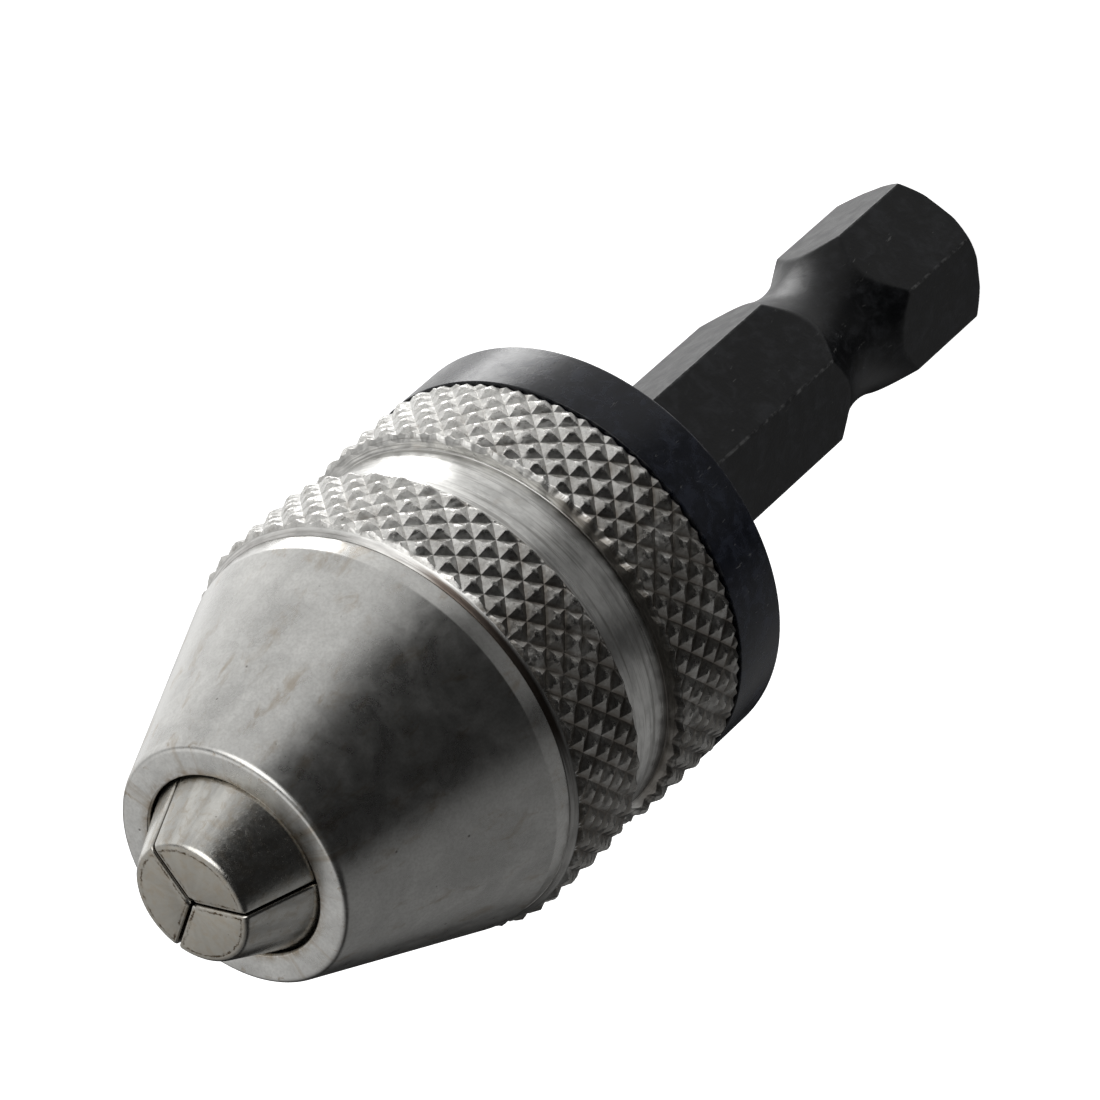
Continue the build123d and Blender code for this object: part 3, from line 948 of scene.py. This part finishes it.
@dataclass
class JawSet:
    """Three jaws that fill the mouth, and the coil springs that push them apart."""

    angles: tuple[float, ...] = (34.5, 154.5, -85.5)
    slit: float = 0.095
    tip_radius: float = 2.51
    jaw_radius: float = 5.1
    cone_slope: float = math.tan(math.radians(24))
    edge_round: float = 0.15
    rear_break: float = 0.1
    foot_blend: float = 0.15
    tip_round: float = 0.18
    flank_share: float = 0.45
    grip_radius: float = 0.15
    relief_radius: float = 2.1
    relief_length: float = 2.55
    rib_slot: tuple[float, float] = (1.3, 0.8)
    spring_radius: float = 3.3
    spring_hole: tuple[float, float] = (0.75, 2.0)
    rows: dict[str, float] = field(default_factory=lambda: {"front": 43.4, "rear": 40.6})
    coil_radius: float = 0.5
    wire_radius: float = 0.11
    coil_turns: float = 8.0
    coil_length: float = 3.9
    end_coils: float = 0.045

    def section(self, outer: float, inset: float) -> np.ndarray:
        """One jaw's outline across the axis, about its own mid-plane on +X.

        Args:
            outer: radius of the outside, in mm.
            inset: how far the whole outline is drawn in, in mm.

        Returns:
            Rows of x and y in mm, the same number at every height.
        """
        back = self.slit / 2 + inset * self.flank_share
        outer, grip = outer - inset, self.grip_radius + inset
        round_off = self.edge_round
        lean = math.radians(60)
        start = lean - math.asin(min(back / grip, 0.85))
        points = [(grip * math.cos(t), grip * math.sin(t)) for t in np.linspace(-start, start, 4)]
        side = np.array((math.cos(lean), math.sin(lean)))
        inward = np.array((math.sin(lean), -math.cos(lean)))
        span = math.sqrt(outer**2 - back**2)
        end = lean - math.asin(back / outer) - round_off / outer
        flank_end = side * (span - round_off) + inward * back
        arc_start = np.array((math.cos(end), math.sin(end))) * outer
        corner = side * span + inward * back
        flank_start = side * grip * 1.4 + inward * back
        upper = [flank_start + (flank_end - flank_start) * t for t in np.linspace(0, 1, 9)]
        upper += [(1 - t) ** 2 * flank_end + 2 * t * (1 - t) * corner + t**2 * arc_start
                  for t in np.linspace(0, 1, 7)[1:]]
        upper += [np.array((math.cos(t), math.sin(t))) * outer for t in np.linspace(end, 0, 15)[1:]]
        lower = [np.array((p[0], -p[1])) for p in reversed(upper[:-1])]
        return np.array(points + upper + lower)

    def levels(self, rear: float, tip: float) -> list[tuple[float, float, float]]:
        """Heights along a jaw, each with the outside's radius and the inset there.

        Args:
            rear: the jaw's rear face, in mm.
            tip: the jaw's front face, in mm.

        Returns:
            (z, radius, inset) for each level.
        """
        foot = tip - (self.jaw_radius - self.tip_radius) / self.cone_slope
        out = [(rear, self.jaw_radius, self.rear_break), (rear + self.rear_break, self.jaw_radius, 0.0)]
        out.append((foot - self.foot_blend, self.jaw_radius, 0.0))
        for z in np.linspace(foot + self.foot_blend, tip - self.tip_round, 12):
            out.append((z, self.tip_radius + (tip - z) * self.cone_slope, 0.0))
        for turn in np.linspace(0, math.pi / 2, 6)[1:]:
            z = tip - self.tip_round * (1 - math.sin(turn))
            inset = self.tip_round * (1 - math.cos(turn))
            out.append((z, self.tip_radius + (tip - z) * self.cone_slope, inset))
        return out

    def round_cutter(self, name: str, radius: float, length: float, place: Matrix) -> bpy.types.Object:
        """A round bar for cutting, along its own Z.

        Args:
            name: name of the cutter.
            radius: radius in mm.
            length: length in mm.
            place: where the bar's middle and axis go, in mm.

        Returns:
            The cutter.
        """
        angle = np.linspace(0, 2 * math.pi, 48, endpoint=False)[None, :]
        grid = wound(np.full((2, 1), radius), np.array([[-length / 2], [length / 2]]), angle)
        turn, shift = np.array(place.to_3x3()), np.array(place.translation)
        return skin(name, grid @ turn.T + shift, closed=False)

    def cutters(self, angle: float, rear: float) -> list[bpy.types.Object]:
        """The drill relief, the guide rib's slot and the four spring holes of one jaw.

        Args:
            angle: the jaw's mid-plane, in degrees.
            rear: the jaw's rear face, in mm.

        Returns:
            The cutters.
        """
        relief = Matrix.Translation((0, 0, rear))
        made = [self.round_cutter("relief", self.relief_radius, 2 * self.relief_length, relief)]
        width, height = self.rib_slot
        turn = Matrix.Rotation(math.radians(angle), 3, "Z")
        corners = np.array([(0, -width / 2), (8, -width / 2), (8, width / 2), (0, width / 2)])
        grid = np.array([[(x, y, z) for x, y in corners] for z in (rear - 1, rear + height)])
        made.append(skin("rib_slot", grid @ np.array(turn).T, closed=False))
        radius, depth = self.spring_hole
        for side in (-60, 60):
            for z in self.rows.values():
                place = self.across(angle + side, z)
                made.append(self.round_cutter("spring_hole", radius, 2 * depth + self.slit, place))
        return made

    def across(self, slit_angle: float, z: float) -> Matrix:
        """The place of a spring: centred in a slit, its axis at right angles to the slit's plane."""
        turn = Matrix.Rotation(math.radians(slit_angle), 4, "Z")
        return turn @ Matrix.Translation((self.spring_radius, 0, z)) @ Matrix.Rotation(math.pi / 2, 4, "X")

    def jaw(self, number: int, angle: float) -> bpy.types.Object:
        """Builds one jaw.

        Args:
            number: the jaw's number, from 1.
            angle: its mid-plane, in degrees.

        Returns:
            The new piece.
        """
        size = Extent.of(f"jaw_{number}")
        turn = Matrix.Rotation(math.radians(angle), 3, "Z")
        grid = []
        for z, outer, inset in self.levels(size.low, size.high):
            flat = self.section(outer, inset)
            grid.append(np.column_stack((flat, np.full(len(flat), z))))
        made = skin(f"segment_jaw_{number}", np.array(grid) @ np.array(turn).T, closed=False)
        carve(made, self.cutters(angle, size.low))
        return made

    def spring(self, name: str, slit_angle: float, z: float) -> bpy.types.Object:
        """Winds one compressed coil spring with closed ends.

        Args:
            name: name of the piece.
            slit_angle: the slit that it crosses, in degrees.
            z: its height, in mm.

        Returns:
            The new piece.
        """
        t = np.linspace(0, 1, int(self.coil_turns * 20))
        share = t - self.end_coils * np.sin(2 * math.pi * t) - 0.5
        lift = (self.coil_length - 2 * self.wire_radius) * share
        angle = t * self.coil_turns * 2 * math.pi
        centre = wound(self.coil_radius, lift, angle)
        outward = wound(1.0, 0.0, angle)
        ring = np.linspace(0, 2 * math.pi, 10, endpoint=False)
        across = outward[:, None, :] * np.cos(ring)[None, :, None]
        along = np.array((0, 0, 1)) * np.sin(ring)[None, :, None]
        grid = centre[:, None, :] + self.wire_radius * (across + along)
        place = self.across(slit_angle, z)
        return skin(name, grid @ np.array(place.to_3x3()).T + np.array(place.translation), closed=False)

    def build(self) -> None:
        """Builds, dresses and places the jaws and their springs."""
        wire = OiledMetal("spring_wire", (0.42, 0.41, 0.39), 0.25).material()
        for number, angle in enumerate(self.angles, start=1):
            jaw = self.jaw(number, angle)
            tip = Extent.of(f"jaw_{number}").high
            dress(jaw, JawSteel(f"jaw_steel_{number}", angle, self.tip_radius, tip).material())
            stand_in(jaw, f"jaw_{number}", f"jaw_{number}")
            for row, z in self.rows.items():
                coil = self.spring(f"{row}_coil_{number}", angle + 60, z)
                dress(coil, wire)
                stand_in(coil, f"jaw_{number}", f"{row}_spring_{number}")


@dataclass
class Sleeve:
    """The sleeve that the hand turns: a smooth conical hood pressed in a knurled grip."""

    nose_radius: float = 5.05
    mouth_radius: float = 3.765
    foot_radius: float = 8.45
    cone_foot_z: float = 37.85
    hood_foot_z: float = 37.08
    spigot_radius: float = 8.0
    spigot_rear: float = 33.2
    cavity_radius: float = 7.3
    cavity_cone_z: float = 38.49
    mouth_chamfer: float = 0.12
    groove_front: float = 32.86
    groove_rear: float = 30.14
    groove_radius: float = 8.24
    front_crest: float = 8.95
    rear_crest: float = 8.96
    step_height: float = 0.48
    step_rest: float = 0.28
    groove_wall: float = 0.12
    lip_radius: float = 8.62
    thread_bore: float = 6.75
    thread_front: float = 30.45
    counterbore: tuple[float, float] = (7.0, 0.5)
    teeth: int = 46
    tooth_pitch: float = 1.19
    tooth_depth: float = 0.24
    tooth_top: float = 0.85
    tooth_angle: float = -68.75
    tooth_z: float = 36.20
    cuts: int = 6

    def hood(self) -> bpy.types.Object:
        """Builds the hood: nose face, cone, a short land at its foot, and the closing cone inside."""
        nose = Extent.of("nose_hood").high
        return turned("nose_cone", (
            Corner(self.mouth_radius + self.mouth_chamfer / 2, nose - self.mouth_chamfer, 0.06),
            Corner(self.mouth_radius + self.mouth_chamfer, nose, 0.05),
            Corner(self.nose_radius + 0.03, nose, 0.24),
            Corner(self.foot_radius - 0.06, self.cone_foot_z, 0.05),
            Corner(self.foot_radius, self.hood_foot_z, 0.02),
            Corner(self.spigot_radius, self.hood_foot_z),
            Corner(self.spigot_radius, self.spigot_rear),
            Corner(self.cavity_radius, self.spigot_rear),
            Corner(self.cavity_radius, self.cavity_cone_z),
        ), columns=384)

    def teeth_cells(self, angle: np.ndarray, z: np.ndarray) -> tuple[np.ndarray, np.ndarray]:
        """Where a place lies in the two families of knurl grooves, from -0.5 to 0.5 across a tooth.

        Args:
            angle: angles in radians.
            z: heights in mm.

        Returns:
            The place across the first family and across the second.
        """
        round_share = self.teeth * (angle - math.radians(self.tooth_angle)) / (2 * math.pi)
        along_share = (z - self.tooth_z) / self.tooth_pitch
        first, second = round_share + along_share, round_share - along_share
        return first - np.round(first), second - np.round(second)

    def knurl(self, angle: np.ndarray, z: np.ndarray, crest: np.ndarray) -> np.ndarray:
        """The knurled surface's radius: blunt four-sided points between two families of V grooves.

        Args:
            angle: angles in radians.
            z: heights in mm.
            crest: radius of the points, in mm.

        Returns:
            Radii in mm.
        """
        first, second = self.teeth_cells(angle, z)
        height = 1 - 2 * np.maximum(np.abs(first), np.abs(second))
        height = soft_least(height, np.full_like(height, self.tooth_top), 0.07)
        places = wound(crest, z, angle)
        uneven = 1 - 0.12 * (0.5 + 0.5 * ripple(places, 3.1, 1.3))
        torn = 0.010 * ripple(places, 0.42, 4.0)
        return crest - self.tooth_depth * (self.tooth_top - height * uneven) + torn

    def outline(self) -> np.ndarray:
        """The grip's closed outline, with rows on the knurl's own spacing in both bands."""
        rear = Extent.of("grip_sleeve").low
        bore, depth = self.counterbore
        points = rounded((
            Corner(self.spigot_radius, self.hood_foot_z),
            Corner(self.front_crest - self.step_height, self.hood_foot_z, 0.02),
            Corner(self.front_crest - self.step_rest, self.hood_foot_z - 0.26, 0.02),
            Corner(self.front_crest, self.hood_foot_z - 0.46, 0.04),
            Corner(self.front_crest, self.groove_front + 0.34, 0.05),
            Corner(self.lip_radius, self.groove_front + 0.08, 0.03),
            Corner(self.groove_radius, self.groove_front, 0.06),
            Corner(self.groove_radius, self.groove_rear + self.groove_wall, 0.05),
            Corner(self.lip_radius + 0.06, self.groove_rear + 0.02, 0.02),
            Corner(self.rear_crest, self.groove_rear - 0.12, 0.03),
            Corner(self.rear_crest, rear + 0.12, 0.04),
            Corner(self.rear_crest - 0.12, rear, 0.03),
            Corner(bore, rear, 0.05),
            Corner(bore, rear + depth),
            Corner(self.thread_bore, rear + depth + 0.2),
            Corner(self.thread_bore, self.thread_front),
            Corner(self.cavity_radius, self.thread_front),
            Corner(self.cavity_radius, self.spigot_rear),
            Corner(self.spigot_radius, self.spigot_rear),
        ), steps=5)
        step = self.tooth_pitch / 2 / self.cuts
        out = []
        for here, there in zip(points, np.roll(points, -1, axis=0)):
            out.append(here)
            low, high = sorted((here[1], there[1]))
            if here[0] < self.groove_radius - 0.01 or high - low < step:
                if here[0] > self.groove_radius and np.linalg.norm(there - here) > 0.1:
                    out.extend(here + (there - here) * k / 8 for k in range(1, 8))
                continue
            first = math.ceil((low - self.tooth_z) / step + 0.3)
            last = math.floor((high - self.tooth_z) / step - 0.3)
            heights = [self.tooth_z + k * step for k in range(first, last + 1)]
            if there[1] < here[1]:
                heights.reverse()
            out.extend(here + (there - here) * (z - here[1]) / (there[1] - here[1]) for z in heights)
        return np.array(out)

    def grip(self) -> bpy.types.Object:
        """Builds the knurled grip, its cells cut along the knurl's own grooves."""
        outline = self.outline()
        radius, z = outline[:, :1], outline[:, 1:]
        columns = 2 * self.teeth * self.cuts
        angle = math.radians(self.tooth_angle) + np.arange(columns)[None, :] * 2 * math.pi / columns
        crest = np.where(z > self.groove_rear + 1, self.front_crest, radius)
        knurled = np.maximum(np.minimum(radius, self.knurl(angle, z, crest)), self.groove_radius + 0.03)
        cut = np.where(radius > self.groove_radius + 0.05, knurled, radius)
        middle_z = (z + np.roll(z, -1, axis=0)) / 2
        first, second = self.teeth_cells(angle + math.pi / columns, middle_z)
        falling = np.abs(first) > np.abs(second)
        downwards = np.roll(z, -1, axis=0) < z
        return skin("knurled_grip", wound(cut, z, angle), closed=True, falling=falling ^ downwards)

    def sort_faces(self, piece: bpy.types.Object) -> None:
        """Gives the groove, the bore and the plain walls the second material.

        Args:
            piece: the knurled grip.
        """
        mesh = piece.data
        centres = np.empty(len(mesh.polygons) * 3)
        mesh.polygons.foreach_get("center", centres)
        centres = centres.reshape(-1, 3) / MM
        radius = np.hypot(centres[:, 0], centres[:, 1])
        plain = (radius < self.front_crest - self.tooth_depth * self.tooth_top - 0.03).astype(np.int32)
        mesh.polygons.foreach_set("material_index", plain)

    def build(self) -> None:
        """Builds, dresses and places both pieces."""
        hood = self.hood()
        dress(hood, SatinSteel("hood_satin").material())
        stand_in(hood, "sleeve", "nose_hood")
        grip = self.grip()
        root = self.front_crest - self.tooth_depth * self.tooth_top
        knurled = KnurledSteel("grip_knurled", self.front_crest, root)
        dress(grip, knurled.material(), TurnedSteel("grip_turned").material())
        self.sort_faces(grip)
        stand_in(grip, "sleeve", "grip_sleeve")


# ---------------------------------------------------------------------------------------------------------
# Studio
# ---------------------------------------------------------------------------------------------------------


@dataclass(frozen=True)
class Glow:
    """One soft patch of the studio's surroundings, placed by the camera's right, up and towards.

    A patch with a negative strength is a black card, which takes light away.
    """

    toward: tuple[float, float, float]
    edge: float
    full: float
    strength: float


@dataclass
class Studio:
    """Camera, floor, lamp and the soft surroundings that the metal reflects."""

    lens: float = 248.3
    camera_place: tuple[float, float, float] = (-0.05488162, -0.21233673, 0.21486305)
    right: tuple[float, float, float] = (-0.76830155, -0.30298396, -0.56383815)
    up: tuple[float, float, float] = (0.61056702, -0.61133008, -0.50347139)
    aim: tuple[float, float, float] = (0.0, 0.0, 0.028)
    glows: tuple[Glow, ...] = (
        Glow((-0.38, 0.85, -0.36), 0.30, 0.61, 0.71),
        Glow((-0.20, 0.80, -0.57), 0.82, 1.00, 0.70),
        Glow((0.75, -0.60, -0.25), 0.66, 0.84, 0.17),
        Glow((0.87, 0.48, 0.10), 0.91, 0.985, 0.19),
        Glow((-0.80, -0.10, -0.50), 0.60, 0.95, 0.28),
        Glow((-0.74, -0.65, -0.16), 0.70, 0.97, 0.36),
        Glow((-0.56, 0.25, 0.79), 0.86, 0.96, 2.30),
        Glow((-0.85, -0.45, 0.28), 0.90, 0.98, 0.70),
        Glow((-0.21, 0.31, -0.93), 0.94, 0.99, 0.45),
        Glow((0.62, -0.30, -0.72), 0.93, 0.985, 0.09),
        Glow((0.90, -0.15, -0.40), 0.95, 0.99, 0.05),
        Glow((0.99, 0.09, -0.08), 0.955, 0.985, -0.035),
    )
    dimmest: float = 0.018
    lamp_toward: tuple[float, float, float] = (-0.22, 0.76, -0.61)
    lamp_distance: float = 0.45
    lamp_size: float = 0.20
    lamp_watts: float = 0.62
    floor_half: float = 2.0
    floor_gap: float = 0.00005
    white: tuple[float, float, float, float] = (1.0, 1.0, 1.0, 1.0)

    def axes(self) -> tuple[Vector, Vector, Vector]:
        """The camera's right, up and towards, in the frame's axes."""
        right, up = Vector(self.right), Vector(self.up)
        return right, up, right.cross(up)

    def facing(self, toward: Sequence[float]) -> Vector:
        """A direction in the frame's axes from the camera's right, up and towards."""
        right, up, back = self.axes()
        return (right * toward[0] + up * toward[1] + back * toward[2]).normalized()

    def camera(self) -> None:
        """Places the camera."""
        data = bpy.data.cameras.new("studio_camera")
        data.lens, data.sensor_width = self.lens, 36.0
        data.clip_start, data.clip_end = 0.01, 20.0
        camera = bpy.data.objects.new("studio_camera", data)
        right, up, back = self.axes()
        turn = Matrix((right, up, back)).transposed().to_4x4()
        camera.matrix_world = Matrix.Translation(self.camera_place) @ turn
        bpy.context.scene.collection.objects.link(camera)
        bpy.context.scene.camera = camera

    def lamp(self) -> None:
        """Places the key lamp, a soft square panel."""
        data = bpy.data.lights.new("key_panel", "AREA")
        data.shape, data.size, data.energy = "SQUARE", self.lamp_size, self.lamp_watts
        lamp = bpy.data.objects.new("key_panel", data)
        direction = self.facing(self.lamp_toward)
        lamp.location = Vector(self.aim) + direction * self.lamp_distance
        lamp.rotation_mode = "QUATERNION"
        lamp.rotation_quaternion = direction.to_track_quat("Z", "Y")
        lamp.visible_camera = False
        bpy.context.scene.collection.objects.link(lamp)

    def surroundings(self) -> None:
        """Builds the surroundings: dim all round, with a few broad glows, and white behind the chuck."""
        world = bpy.data.worlds.new("studio")
        world.use_nodes = True
        bpy.context.scene.world = world
        wiring = Wiring(world.node_tree)
        looking = wiring.node("ShaderNodeTexCoord").outputs["Generated"]
        total = self.dimmest
        for glow in self.glows:
            near = wiring.vector("DOT_PRODUCT", looking, self.facing(glow.toward))
            total = wiring.maths("ADD", total, wiring.step(near, glow.edge, glow.full, 0.0, glow.strength))
        seen = wiring.node("ShaderNodeLightPath").outputs["Is Camera Ray"]
        pick = wiring.node("ShaderNodeMix")
        background = world.node_tree.nodes["Background"]
        wiring.feed(pick.inputs[0], seen)
        wiring.feed(pick.inputs[2], wiring.maths("MAXIMUM", total, self.dimmest / 4))
        wiring.feed(pick.inputs[3], 1.0)
        wiring.feed(background.inputs["Strength"], pick.outputs[0])
        wiring.feed(background.inputs["Color"], self.white)

    def floor(self) -> None:
        """Lays the pale floor under the shank's end."""
        half = self.floor_half
        corners = [(-half, -half, 0), (half, -half, 0), (half, half, 0), (-half, half, 0)]
        mesh = bpy.data.meshes.new("floor")
        mesh.from_pydata(corners, [], [(0, 1, 2, 3)])
        floor = bpy.data.objects.new("floor", mesh)
        floor.location.z = cad_box[0].z - self.floor_gap
        floor.visible_glossy = False
        material = bpy.data.materials.new("floor_white")
        material.use_nodes = True
        surface = material.node_tree.nodes["Principled BSDF"]
        surface.inputs["Base Color"].default_value = (0.9, 0.9, 0.9, 1.0)
        surface.inputs["Roughness"].default_value = 0.9
        surface.inputs["Emission Color"].default_value = self.white
        surface.inputs["Emission Strength"].default_value = 1.0
        mesh.materials.append(material)
        bpy.context.scene.collection.objects.link(floor)

    def build(self) -> None:
        """Sets the whole studio up."""
        bpy.context.scene.view_settings.view_transform = "Standard"
        self.camera()
        self.lamp()
        self.surroundings()
        self.floor()


def main() -> None:
    """Builds the studio and every sub-assembly in order."""
    logging.basicConfig(level=logging.INFO, format="%(name)s: %(message)s")
    for section in (Studio(), Shank(), Barrel(), Bearing(), JawSet(), Sleeve()):
        LOG.info("building %s", type(section).__name__)
        section.build()


if __name__ == "__main__":
    main()
